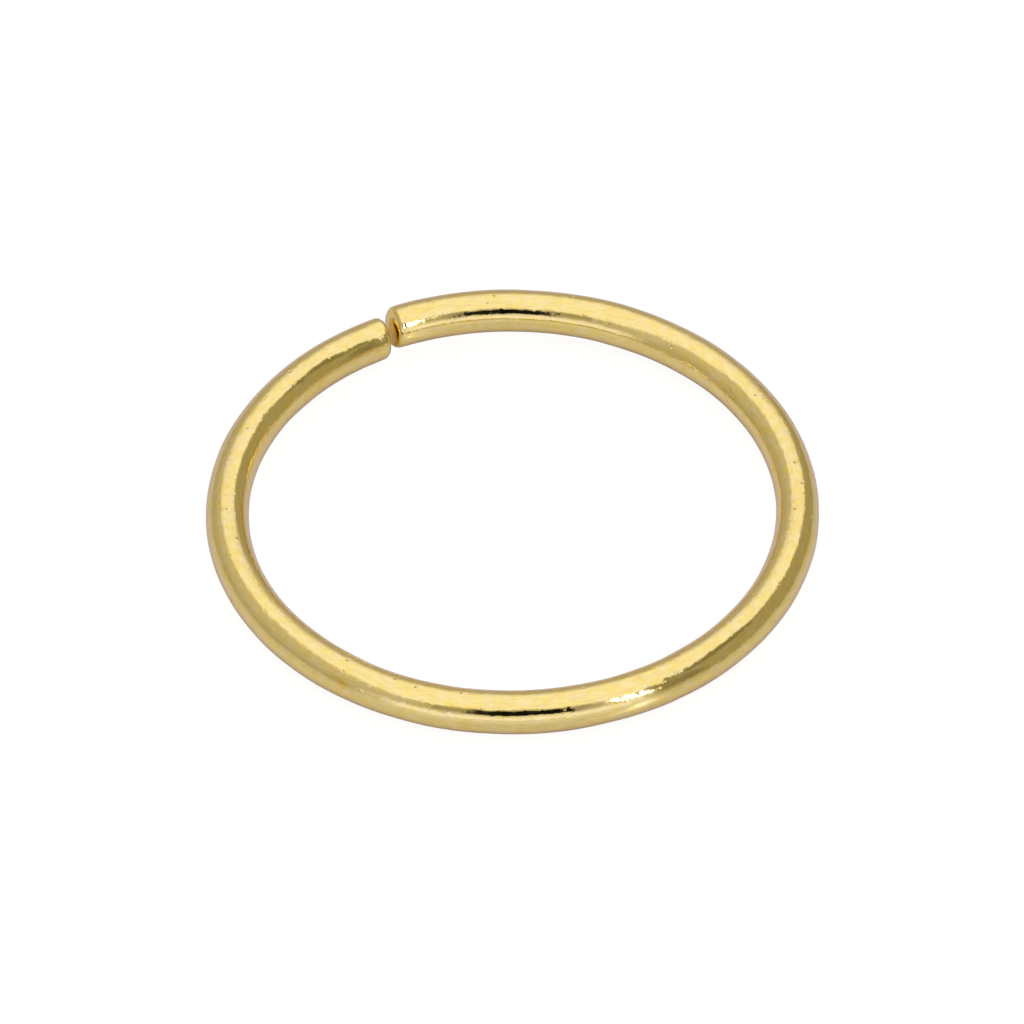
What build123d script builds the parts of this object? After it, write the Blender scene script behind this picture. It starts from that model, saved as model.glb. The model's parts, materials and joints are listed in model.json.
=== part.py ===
"""Open nose hoop: one length of round wire wound into a ring, with a narrow butt gap between its two cut ends.

Millimetres, +Z up. The hoop lies on its side on the plane z = 0. The origin is the ring's centre, on that
plane, and the gap faces +Y. The hoop was one turn of a coil, so it isn't quite flat: most of it lies on the
plane, and the rest climbs steadily to the cut end on the +X side of the gap.
"""

from build123d import *
import math
import os

# Driving dimensions
WIRE_DIAMETER = 0.8
INSIDE_DIAMETER = 9.8
GAP = 0.15  # clear width between the cut ends, along the wire
END_RISE = 0.155  # how far the raised end stands above the resting end
RISING_SPAN = 145.0  # degrees of the ring that climb, up to the raised end
RESTING_END_ROUNDING = 0.10  # radius that tumbling left on each cut end's edge
RAISED_END_ROUNDING = 0.15

WIRE_RADIUS = WIRE_DIAMETER / 2
BEND_RADIUS = (INSIDE_DIAMETER + WIRE_DIAMETER) / 2
HALF_GAP_ANGLE = math.degrees(GAP / 2 / BEND_RADIUS)

# Polar angles round the ring, anticlockwise from +X as seen from above
GAP_MIDDLE = 90.0
RESTING_END = GAP_MIDDLE + HALF_GAP_ANGLE
RAISED_END = GAP_MIDDLE + 360.0 - HALF_GAP_ANGLE
RISE_START = RAISED_END - RISING_SPAN

# A circular stretch leaned by this angle about its own start climbs END_RISE over RISING_SPAN
RISE_TILT = math.degrees(math.asin(END_RISE / (BEND_RADIUS * (1 - math.cos(math.radians(RISING_SPAN))))))


def section_plane(angle):
    """The plane square to the wire at a polar angle, centred in the wire and facing anticlockwise."""
    turn = math.radians(angle)
    outward = Vector(math.cos(turn), math.sin(turn), 0)
    along = Vector(-math.sin(turn), math.cos(turn), 0)
    centre = outward * BEND_RADIUS + Vector(0, 0, WIRE_RADIUS)
    return Plane(origin=centre, x_dir=outward, z_dir=along)


def bent_wire(start, end):
    """Round wire bent flat on z = 0, from one polar angle to another."""
    disc = section_plane(start) * Circle(WIRE_RADIUS)
    return revolve(disc, Axis.Z, end - start)


def make_hoop():
    """The whole ring: a stretch that lies flat, a stretch that climbs, and two cut ends with rounded edges."""
    lying = bent_wire(RESTING_END, RISE_START)
    joint = section_plane(RISE_START)
    climbing = bent_wire(RISE_START, RAISED_END).rotate(Axis(joint.origin, joint.z_dir), RISE_TILT)
    hoop = lying + climbing
    for side, rounding in ((0, RESTING_END_ROUNDING), (-1, RAISED_END_ROUNDING)):
        cut_face = hoop.faces().filter_by(GeomType.PLANE).sort_by(Axis.X)[side]
        hoop = fillet(cut_face.edges(), rounding)
    return hoop


os.makedirs("parts", exist_ok=True)
hoop = make_hoop()
export_step(hoop, "parts/hoop.step")

wire_length = math.radians(RAISED_END - RESTING_END) * BEND_RADIUS
print("wire length", round(wire_length, 2), "mm, volume", round(hoop.volume, 3), "mm3")
print("section times length", round(math.pi * WIRE_RADIUS**2 * wire_length, 3), "mm3")
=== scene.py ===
import json
import math
import random

import bpy
from mathutils import Matrix, Quaternion, Vector


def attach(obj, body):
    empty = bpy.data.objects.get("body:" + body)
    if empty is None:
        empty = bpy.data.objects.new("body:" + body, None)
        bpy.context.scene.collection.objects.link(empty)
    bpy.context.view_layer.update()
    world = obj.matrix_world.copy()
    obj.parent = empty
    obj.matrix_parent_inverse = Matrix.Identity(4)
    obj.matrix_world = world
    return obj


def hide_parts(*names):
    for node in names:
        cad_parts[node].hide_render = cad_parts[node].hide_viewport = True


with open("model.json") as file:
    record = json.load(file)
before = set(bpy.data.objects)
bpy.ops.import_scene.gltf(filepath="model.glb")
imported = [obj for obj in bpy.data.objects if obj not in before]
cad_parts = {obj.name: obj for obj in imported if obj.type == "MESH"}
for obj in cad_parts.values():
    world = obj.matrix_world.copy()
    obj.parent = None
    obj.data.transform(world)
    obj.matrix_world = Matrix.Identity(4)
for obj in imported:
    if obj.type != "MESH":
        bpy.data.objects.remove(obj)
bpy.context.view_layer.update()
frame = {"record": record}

# ---------------------------------------------------------------------------
# The hoop. One length of round brass wire with a gold surface, cut, wound once
# round a mandrel so that its ends nearly meet, and tumbled until it shines.
# One end was left standing a little above the other, as in a turn of a coil.
# ---------------------------------------------------------------------------
seat = frame["record"]["mounts"][0]
wire_radius = seat["dims"]["r_mm"] / 1000
bend_radius = -seat["pos_m"][1]
ring_centre = Vector((0, 0, wire_radius))
end_rise = 0.000155
climb_angle = math.radians(145)
resting_side_of_gap = 0.000055
raised_side_of_gap = 0.000065

# Polar angles, with the middle of the gap at a quarter turn. The wire climbs steadily up to its raised end.
resting_end = math.pi / 2 + resting_side_of_gap / bend_radius
raised_end = math.pi * 5 / 2 - raised_side_of_gap / bend_radius
climb_start = raised_end - climb_angle
climb_tilt = math.asin(end_rise / (bend_radius * (1 - math.cos(climb_angle))))


# How each cut end is finished is worked out as rows, one for each ring of vertices on the way to the face:
# distance back from the cut face, wire radius there, and how much of the face's lean the ring has.
def rounded_end(length, depth, steps):
    """The quarter round that tumbling left on the edge of a cut end."""
    rows = []
    for step in range(1, steps + 1):
        turn = math.pi / 2 * step / steps
        rows.append((length * (1 - math.sin(turn)), wire_radius - depth * (1 - math.cos(turn)), 1.0))
    return rows


def straight_end(start, stop, steps, profile=()):
    """The plain wire before the rounding, over which the rings begin to lean. A profile sinks some."""
    rows = []
    for step in range(steps + 1):
        share = step / steps
        sunk = profile[step] if step < len(profile) else 0.0
        rows.append((start + (stop - start) * share, wire_radius - sunk, share))
    return rows


resting_rounding = 0.00012
resting_finish = straight_end(0.00042, resting_rounding, 6)
resting_finish += rounded_end(resting_rounding, resting_rounding, 10)
raised_rounding = 0.00015
raised_rounding_depth = 0.00020
# A shallow groove runs round the wire just before the rounding of the raised end.
raised_groove = [0] * 14 + [0.000002, 0.000005]
raised_finish = straight_end(0.00045, raised_rounding, 15, raised_groove)
raised_finish += rounded_end(raised_rounding, raised_rounding_depth, 14)
# The cutters left each face leaning: its top set back by this angle, and its outer side set back by that one.
resting_lean = (math.radians(-5), math.radians(-3))
raised_lean = (math.radians(3), math.radians(1))
# How far below the middle of the wire the rounding closes in, so that the top is rounded more.
resting_sink = 0.00005
raised_sink = 0.00030

resting_start = resting_end + resting_finish[0][0] / bend_radius
raised_start = raised_end - raised_finish[0][0] / bend_radius

lying_axis = Vector((0, 0, 1))
climb_tangent = Vector((-math.sin(climb_start), math.cos(climb_start), 0))
climb_root = ring_centre + bend_radius * Vector((math.cos(climb_start), math.sin(climb_start), 0))
climb_turn = Matrix.Rotation(climb_tilt, 3, climb_tangent)
climb_axis = climb_turn @ lying_axis
climb_centre = climb_root + climb_turn @ (ring_centre - climb_root)


def section_centre(angle):
    """The middle of the wire at a polar angle."""
    flat = bend_radius * Vector((math.cos(angle), math.sin(angle), 0))
    if angle <= climb_start:
        return ring_centre + flat
    return climb_centre + climb_turn @ flat


wire_sides = 96


def add_section(angle):
    """A circle of vertices square to the wire at a polar angle, selected."""
    flat_angle = min(angle, climb_start)
    facing = Matrix.Rotation(flat_angle, 3, "Z") @ Matrix.Rotation(math.pi / 2, 3, "X")
    facing = Matrix.Rotation(angle - flat_angle, 3, climb_axis) @ facing
    bpy.ops.mesh.primitive_circle_add(
        vertices=wire_sides,
        radius=wire_radius,
        fill_type="NOTHING",
        location=section_centre(angle),
        rotation=facing.to_euler(),
    )


def finish_end(rows, lean, sink, angle, direction, centre, axis):
    """Takes the selected circle on to the cut face, row by row, and closes it. Spin turns clockwise."""
    back, radius, leaned = rows[0]
    for distance, new_radius, new_leaned in rows[1:]:
        step = (back - distance) / bend_radius * direction
        angle += step
        middle = section_centre(angle)
        bpy.ops.mesh.spin(steps=1, angle=-step, center=centre, axis=axis)
        low = middle - Vector((0, 0, sink))
        bpy.ops.transform.resize(value=(new_radius / radius,) * 3, center_override=low)
        if new_leaned > leaned:
            more = (new_leaned - leaned) * direction
            bpy.ops.transform.rotate(value=-lean[0] * more, orient_axis="Y", center_override=middle)
            bpy.ops.transform.rotate(value=lean[1] * more, orient_axis="Z", center_override=middle)
        back, radius, leaned = distance, new_radius, new_leaned
    bpy.ops.mesh.edge_face_add()
    for _ in range(3):
        bpy.ops.mesh.inset(thickness=radius / 4)
    bpy.ops.mesh.poke()


def bend_wire(first, last, steps, centre, lean):
    """A stretch of round wire, bent from one polar angle to another about a centre."""
    bpy.ops.object.empty_add(location=centre, rotation=lean.to_euler())
    mandrel = bpy.context.object
    add_section(first)
    stretch = bpy.context.object
    bpy.ops.object.transform_apply(location=True, rotation=True, scale=True)
    bend = stretch.modifiers.new("bend", "SCREW")
    bend.object = mandrel
    bend.angle = last - first
    bend.steps = bend.render_steps = steps
    bpy.ops.object.modifier_apply(modifier=bend.name)
    bpy.data.objects.remove(mandrel)
    return stretch


def cut_end(rows, lean, sink, angle, direction, centre, axis):
    """A short cap: the rounded edge and the face of a cut end."""
    add_section(angle)
    bpy.ops.object.transform_apply(location=True, rotation=True, scale=True)
    bpy.ops.object.mode_set(mode="EDIT")
    bpy.ops.mesh.select_all(action="SELECT")
    finish_end(rows, lean, sink, angle, direction, centre, axis)
    bpy.ops.object.mode_set(mode="OBJECT")
    return bpy.context.object


# Both stretches have a section about every half degree.
lying_steps = 430
climbing_steps = 290
bpy.ops.object.select_all(action="DESELECT")
parts = [
    cut_end(resting_finish, resting_lean, resting_sink, resting_start, -1, ring_centre, lying_axis),
    bend_wire(resting_start, climb_start, lying_steps, ring_centre, Matrix.Identity(3)),
    bend_wire(climb_start, raised_start, climbing_steps, climb_centre, climb_turn),
    cut_end(raised_finish, raised_lean, raised_sink, raised_start, 1, climb_centre, climb_axis),
]
for part in parts:
    part.select_set(True)
bpy.ops.object.join()
hoop = bpy.context.object
hoop.name = hoop.data.name = "gold_hoop"
bpy.ops.object.mode_set(mode="EDIT")
bpy.ops.mesh.select_all(action="SELECT")
bpy.ops.mesh.remove_doubles(threshold=1e-7)
bpy.ops.mesh.normals_make_consistent(inside=False)
bpy.ops.object.mode_set(mode="OBJECT")
bpy.ops.object.shade_smooth()

# The barrel's stones leave the wire a hundredth of a millimetre high and low in turn.
swells = bpy.data.textures.new("swells", "CLOUDS")
swells.noise_scale = 0.0013
swells.noise_depth = 1
peening = hoop.modifiers.new("peening", "DISPLACE")
peening.texture = swells
peening.texture_coords = "LOCAL"
peening.mid_level = 0.5
peening.strength = 0.000024
bpy.ops.object.modifier_apply(modifier=peening.name)
bpy.data.textures.remove(swells)

# Where each point would lie if the wire were straightened again: along it, and out and up from its middle.
straight_wire = hoop.data.attributes.new("straight_wire", "FLOAT_VECTOR", "POINT")
for vertex, place in zip(hoop.data.vertices, straight_wire.data):
    angle = math.pi / 2 + (math.atan2(vertex.co.y, vertex.co.x) - math.pi / 2) % (2 * math.pi)
    out = math.hypot(vertex.co.x, vertex.co.y) - bend_radius
    place.vector = (angle * bend_radius, out, vertex.co.z - section_centre(angle).z)


# Handling left some dings on the wire, most of them together on one side; inside each, the colour is darkened
# as painted shade. There is also one warm amber spot. Round the ring, 90 degrees is at the gap, and round the
# wire, 0 is its outer side and 90 its top. A mark is kept as degrees round the ring, degrees round the wire,
# and its radius. The dings are drawn by lot about a few places round the ring, each given with how many there
# are.
lots = random.Random(3)
dings = []
for place, count in ((165, 2), (220, 7), (340, 3), (425, 2)):
    for _ in range(count):
        round_ring = lots.gauss(place, 7)
        round_wire = lots.gauss(95, 8)
        dings.append((round_ring, round_wire, lots.uniform(0.000026, 0.000040)))
# The warm amber spot: degrees round the ring, degrees round the wire, and its radius.
amber_spot = [(210, 25, 0.000150)]
ragged_by = 0.000050
pit_spacing = 0.00050

# Soft ripples and dimples, a row for each size: length along the wire, length round it, and depth.
ripples = (
    (0.00090, 0.00060, 0.0000070),
    (0.00035, 0.00022, 0.0000040),
    (0.00014, 0.00014, 0.0000025),
)
# Tiny facets that make the edges of reflections sparkle: length along the wire and length round it.
facets = (
    (0.000110, 0.000060),
    (0.000028, 0.000032),
)
pale_gold = (0.98, 0.795, 0.40, 1)
deep_gold = (0.97, 0.745, 0.21, 1)
amber = (0.97, 0.62, 0.10, 1)
mauve_edge = (0.82, 0.74, 1.0, 1)


def polished_gold():
    """Tumbled gold: near mirror bright, with ripples, patches of tiny facets, pits, dings darkened with
    painted shade, and a warm amber spot.
    """
    material = bpy.data.materials.new("polished_gold")
    material.use_nodes = True
    nodes, links = material.node_tree.nodes, material.node_tree.links
    shader = nodes["Principled BSDF"]
    shader.inputs["Metallic"].default_value = 1.0
    shader.inputs["Specular Tint"].default_value = mauve_edge
    shader.inputs["Coat Weight"].default_value = 0.4
    shader.inputs["Coat Roughness"].default_value = 0.05
    wire = nodes.new("ShaderNodeAttribute")
    wire.attribute_name = "straight_wire"

    def grain(along, around, detail=1.0, part="Fac"):
        """Noise whose grains have a length along the wire and a length around it."""
        stretch = nodes.new("ShaderNodeMapping")
        stretch.inputs["Scale"].default_value = (1 / along, 1 / around, 1 / around)
        links.new(wire.outputs["Vector"], stretch.inputs["Vector"])
        noise = nodes.new("ShaderNodeTexNoise")
        noise.inputs["Scale"].default_value = 1.0
        noise.inputs["Detail"].default_value = detail
        links.new(stretch.outputs["Vector"], noise.inputs["Vector"])
        return noise.outputs[part]

    def arithmetic(operation, value, other):
        """A value and a number, or two values, put through one operation."""
        sum_of = nodes.new("ShaderNodeMath")
        sum_of.operation = operation
        links.new(value, sum_of.inputs[0])
        if isinstance(other, float):
            sum_of.inputs[1].default_value = other
        else:
            links.new(other, sum_of.inputs[1])
        return sum_of.outputs["Value"]

    def away_from(marks):
        """How far the nearest of some marks is, in its own radii. Their edges are ragged."""
        ragged = nodes.new("ShaderNodeVectorMath")
        ragged.operation = "MULTIPLY_ADD"
        ragged.inputs[1].default_value = (ragged_by, ragged_by, ragged_by)
        links.new(grain(0.000035, 0.000035, part="Color"), ragged.inputs[0])
        links.new(wire.outputs["Vector"], ragged.inputs[2])
        nearest = None
        for round_ring, round_wire, radius in marks:
            turn = math.radians(round_wire)
            middle = Vector((
                math.radians(round_ring) * bend_radius,
                wire_radius * math.cos(turn),
                wire_radius * math.sin(turn),
            ))
            reach = nodes.new("ShaderNodeVectorMath")
            reach.operation = "DISTANCE"
            reach.inputs[1].default_value = middle + Vector((ragged_by, ragged_by, ragged_by)) / 2
            links.new(ragged.outputs["Vector"], reach.inputs[0])
            radii = arithmetic("DIVIDE", reach.outputs["Value"], radius)
            nearest = arithmetic("MINIMUM", nearest, radii) if nearest else radii
        return nearest

    def shift(value, low, high, new_low, new_high):
        """A value moved from one range to another, and held inside it."""
        spread = nodes.new("ShaderNodeMapRange")
        spread.inputs["From Min"].default_value = low
        spread.inputs["From Max"].default_value = high
        spread.inputs["To Min"].default_value = new_low
        spread.inputs["To Max"].default_value = new_high
        links.new(value, spread.inputs["Value"])
        return spread.outputs["Result"]

    def relief(height, depth, below):
        """A height pattern of a depth in metres, laid over the relief below it."""
        bump = nodes.new("ShaderNodeBump")
        bump.inputs["Distance"].default_value = depth
        links.new(height, bump.inputs["Height"])
        if below:
            links.new(below, bump.inputs["Normal"])
        return bump.outputs["Normal"]

    def tilt(pattern, amount, below):
        """Small facets over the relief below them, each leaning its own way by an amount."""
        way = nodes.new("ShaderNodeVectorMath")
        way.inputs[1].default_value = (-0.5, -0.5, -0.5)
        links.new(pattern, way.inputs[0])
        lean = nodes.new("ShaderNodeVectorMath")
        lean.operation = "SCALE"
        links.new(way.outputs["Vector"], lean.inputs[0])
        links.new(amount, lean.inputs["Scale"])
        whole = nodes.new("ShaderNodeVectorMath")
        links.new(lean.outputs["Vector"], whole.inputs[0])
        links.new(below, whole.inputs[1])
        facet = nodes.new("ShaderNodeVectorMath")
        facet.operation = "NORMALIZE"
        links.new(whole.outputs["Vector"], facet.inputs[0])
        return facet.outputs["Vector"]

    surface = None
    for along, around, depth in ripples:
        surface = relief(grain(along, around), depth, surface)
    pits = nodes.new("ShaderNodeTexVoronoi")
    pits.inputs["Scale"].default_value = 1 / pit_spacing
    links.new(wire.outputs["Vector"], pits.inputs["Vector"])
    surface = relief(shift(pits.outputs["Distance"], 0.02, 0.08, 0.0, 1.0), 0.000010, surface)
    off_dings = away_from(dings)
    surface = relief(shift(off_dings, 0.2, 1.0, 0.0, 1.0), 0.000007, surface)
    rough_patches = shift(grain(0.00028, 0.00020), 0.47, 0.62, 0.01, 0.20)
    for along, around in facets:
        surface = tilt(grain(along, around, part="Color"), rough_patches, surface)
    links.new(surface, shader.inputs["Normal"])

    tint = nodes.new("ShaderNodeMix")
    tint.data_type = "RGBA"
    tint.inputs["A"].default_value = pale_gold
    tint.inputs["B"].default_value = deep_gold
    links.new(shift(grain(0.00022, 0.00018, 6.0), 0.30, 0.70, 0.0, 1.0), tint.inputs["Factor"])
    # Near the warm amber spot the colour is mixed towards amber.
    amber_spotted = nodes.new("ShaderNodeMix")
    amber_spotted.data_type = "RGBA"
    amber_spotted.inputs["B"].default_value = amber
    links.new(shift(away_from(amber_spot), 0.2, 1.0, 0.75, 0.0), amber_spotted.inputs["Factor"])
    links.new(tint.outputs["Result"], amber_spotted.inputs["A"])
    shade = nodes.new("ShaderNodeVectorMath")
    shade.operation = "SCALE"
    links.new(amber_spotted.outputs["Result"], shade.inputs[0])
    streaks = shift(grain(0.00020, 0.000040, 3.0), 0.30, 0.70, 0.90, 1.04)
    # Inside each ding the colour is darkened: painted shade in the dent.
    painted_ding_shade = shift(off_dings, 0.3, 1.1, 0.62, 1.0)
    links.new(arithmetic("MULTIPLY", streaks, painted_ding_shade), shade.inputs["Scale"])
    links.new(shade.outputs["Vector"], shader.inputs["Base Color"])
    links.new(shift(grain(0.00025, 0.00020, 2.0), 0.3, 0.7, 0.07, 0.13), shader.inputs["Roughness"])
    return material


hoop.data.materials.append(polished_gold())
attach(hoop, "root")
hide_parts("hoop")

# ---------------------------------------------------------------------------
# The studio, which polished gold reflects: a white table, a softbox overhead, pale
# walls, a flag on the right, a low pale card and a narrow lamp beside the camera, and
# the dark shapes of the camera and the clothes behind it. None is part of the ring.
# ---------------------------------------------------------------------------
view_azimuth = math.radians(-26.1)
away = Vector((-math.sin(view_azimuth), math.cos(view_azimuth), 0))
right = Vector((math.cos(view_azimuth), math.sin(view_azimuth), 0))
up = Vector((0, 0, 1))


def toward(azimuth, elevation):
    """A direction from the ring: azimuth 0 is away from the camera and 90 is to its right."""
    a, e = math.radians(azimuth), math.radians(elevation)
    return math.cos(e) * (math.cos(a) * away + math.sin(a) * right) + math.sin(e) * up


def glow(name, colour, strength, fades=()):
    """A card that shines evenly, but fades out along each of some directions.

    A fade is a direction and two distances along it: where the card is clear, and where it shines fully.
    """
    material = bpy.data.materials.new(name)
    material.use_nodes = True
    nodes, links = material.node_tree.nodes, material.node_tree.links
    nodes.clear()
    emission = nodes.new("ShaderNodeEmission")
    emission.inputs["Color"].default_value = (*colour, 1)
    emission.inputs["Strength"].default_value = strength
    place = nodes.new("ShaderNodeTexCoord")
    clear = nodes.new("ShaderNodeBsdfTransparent")
    shine = emission.outputs["Emission"]
    for direction, gone, full in fades:
        along = nodes.new("ShaderNodeVectorMath")
        along.operation = "DOT_PRODUCT"
        along.inputs[1].default_value = direction
        links.new(place.outputs["Object"], along.inputs[0])
        fade = nodes.new("ShaderNodeMapRange")
        fade.interpolation_type = "SMOOTHSTEP"
        fade.inputs["From Min"].default_value = gone
        fade.inputs["From Max"].default_value = full
        links.new(along.outputs["Value"], fade.inputs["Value"])
        mix = nodes.new("ShaderNodeMixShader")
        links.new(fade.outputs["Result"], mix.inputs["Fac"])
        links.new(clear.outputs["BSDF"], mix.inputs[1])
        links.new(shine, mix.inputs[2])
        shine = mix.outputs["Shader"]
    output = nodes.new("ShaderNodeOutputMaterial")
    links.new(shine, output.inputs["Surface"])
    return material


def card(name, places, faces, material):
    """A studio card that the ring reflects and the camera doesn't see."""
    mesh = bpy.data.meshes.new(name)
    mesh.from_pydata([tuple(place) for place in places], [], faces)
    mesh.materials.append(material)
    thing = bpy.data.objects.new(name, mesh)
    bpy.context.scene.collection.objects.link(thing)
    thing.visible_camera = False


def sky_patch(name, azimuths, elevations, distance, material):
    """A curved card that covers a range of directions seen from the ring."""
    steps = 12
    row = steps + 1
    places = []
    faces = []
    for i in range(row):
        for j in range(row):
            azimuth = azimuths[0] + (azimuths[1] - azimuths[0]) * i / steps
            elevation = elevations[0] + (elevations[1] - elevations[0]) * j / steps
            places.append(toward(azimuth, elevation) * distance)
            if i < steps and j < steps:
                corner = i * row + j
                faces.append((corner, corner + row, corner + row + 1, corner + 1))
    card(name, places, faces, material)


# The softbox hangs flat over the ring, and these are where its edges are, sideways and away from the camera.
softbox_height = 0.5
left_edge = -0.42
right_edge = 0.445
near_edge = -0.35
far_edge = 1.2
corners = [
    right * sideways + away * depth + up * softbox_height
    for sideways, depth in (
        (left_edge, near_edge), (right_edge, near_edge), (right_edge, far_edge), (left_edge, far_edge),
    )
]
card("softbox", corners, [(0, 1, 2, 3)], glow("softbox_light", (1, 0.985, 0.97), 1.03, [
    (right, left_edge, -0.25),
    (-right, -right_edge, -0.345),
    (0.2 * right - away, -1.1, -0.375),
    (away, near_edge, -0.32),
]))
sky_patch("right_flag", (5, 132), (-1, 66), 0.9, glow("flag", (1, 0.92, 0.60), 0.375, [
    (right - 0.25 * up, 0.18, 0.41),
]))
sky_patch("softbox_rim", (58, 122), (41, 61), 0.55, glow("rim", (1, 0.95, 0.55), 0.23, [
    (up, 0.360, 0.395),
    (right + 0.15 * away, 0.28, 0.32),
    (-away, -0.17, -0.09),
]))
sky_patch("flag_edge", (112, 133), (8, 47), 0.75, glow("flag_shade", (1, 0.92, 0.55), 0.24, [
    (-away, 0.22, 0.33),
    (up, 0.10, 0.20),
]))
sky_patch("lamp", (135, 140), (22, 44), 0.45, glow("lamp_light", (1, 1, 1.05), 14.0))
sky_patch("reflector", (134, 236), (-2, 28), 0.6, glow("reflector_card", (1, 1, 1.18), 0.98, [
    (-up, -0.280, -0.130),
    (right, -0.50, -0.34),
    (-right, -0.43, -0.38),
]))
sky_patch("dark_clothes", (144, 214), (30, 52), 0.5, glow("dark_cloth", (1, 0.94, 0.76), 0.38, [
    (-up, -0.385, -0.355),
    (right, -0.26, -0.20),
]))
sky_patch("camera_body", (159, 196), (25.5, 49), 0.45, glow("camera_black", (1, 1, 1), 0.004))

# The table is white to the ring, and shines evenly white to the camera, with a hint of shadow.
floor_material = bpy.data.materials.new("table_top")
floor_material.use_nodes = True
nodes, links = floor_material.node_tree.nodes, floor_material.node_tree.links
nodes["Principled BSDF"].inputs["Roughness"].default_value = 0.25
nodes["Principled BSDF"].inputs["IOR"].default_value = 1.6
nodes["Principled BSDF"].inputs["Emission Color"].default_value = (1, 1, 1, 1)
path = nodes.new("ShaderNodeLightPath")
for socket, elsewhere, seen in (("Base Color", 0.88, 0.10), ("Emission Strength", 0.0, 0.93)):
    look = nodes.new("ShaderNodeMapRange")
    look.inputs["To Min"].default_value = elsewhere
    look.inputs["To Max"].default_value = seen
    links.new(path.outputs["Is Camera Ray"], look.inputs["Value"])
    links.new(look.outputs["Result"], nodes["Principled BSDF"].inputs[socket])
bpy.ops.mesh.primitive_plane_add(size=6, location=(0, 0, 0))
floor = bpy.context.object
floor.name = "table"
floor.data.materials.append(floor_material)

# The walls are a warm grey, dimmer near the table than above, and brighter where the camera looks at them.
world = bpy.data.worlds.new("studio_walls")
bpy.context.scene.world = world
world.use_nodes = True
nodes, links = world.node_tree.nodes, world.node_tree.links
place = nodes.new("ShaderNodeTexCoord")
height_of = nodes.new("ShaderNodeSeparateXYZ")
links.new(place.outputs["Generated"], height_of.inputs["Vector"])
wall = nodes.new("ShaderNodeMapRange")
wall.interpolation_type = "SMOOTHSTEP"
wall.inputs["From Min"].default_value = 0.1
wall.inputs["From Max"].default_value = 0.7
wall.inputs["To Min"].default_value = 0.46
wall.inputs["To Max"].default_value = 0.60
links.new(height_of.outputs["Z"], wall.inputs["Value"])
path = nodes.new("ShaderNodeLightPath")
seen = nodes.new("ShaderNodeMix")
seen.inputs["B"].default_value = 1.0
links.new(path.outputs["Is Camera Ray"], seen.inputs["Factor"])
links.new(wall.outputs["Result"], seen.inputs["A"])
links.new(seen.outputs["Result"], nodes["Background"].inputs["Strength"])
nodes["Background"].inputs["Color"].default_value = (1, 0.945, 0.80, 1)

# ---------------------------------------------------------------------------
# The camera. A long lens, 44 degrees above the table, and 26 degrees round the
# ring from the side opposite the gap.
# ---------------------------------------------------------------------------
elevation = math.radians(44.13)
camera_distance = 38 * bend_radius
roll = math.radians(-0.535)
toward_camera = math.sin(elevation) * up - math.cos(elevation) * away
camera_data = bpy.data.cameras.new("camera")
camera = bpy.data.objects.new("camera", camera_data)
bpy.context.scene.collection.objects.link(camera)
camera_data.sensor_width = 36
camera_data.lens = 380.82
camera_data.clip_start = 0.01
camera_data.shift_x = -0.00045
camera_data.shift_y = -0.00186
camera.location = ring_centre + toward_camera * camera_distance
camera.rotation_mode = "QUATERNION"
camera.rotation_quaternion = toward_camera.to_track_quat("Z", "Y") @ Quaternion((0, 0, 1), roll)
bpy.context.scene.camera = camera
bpy.context.scene.view_settings.view_transform = "Standard"
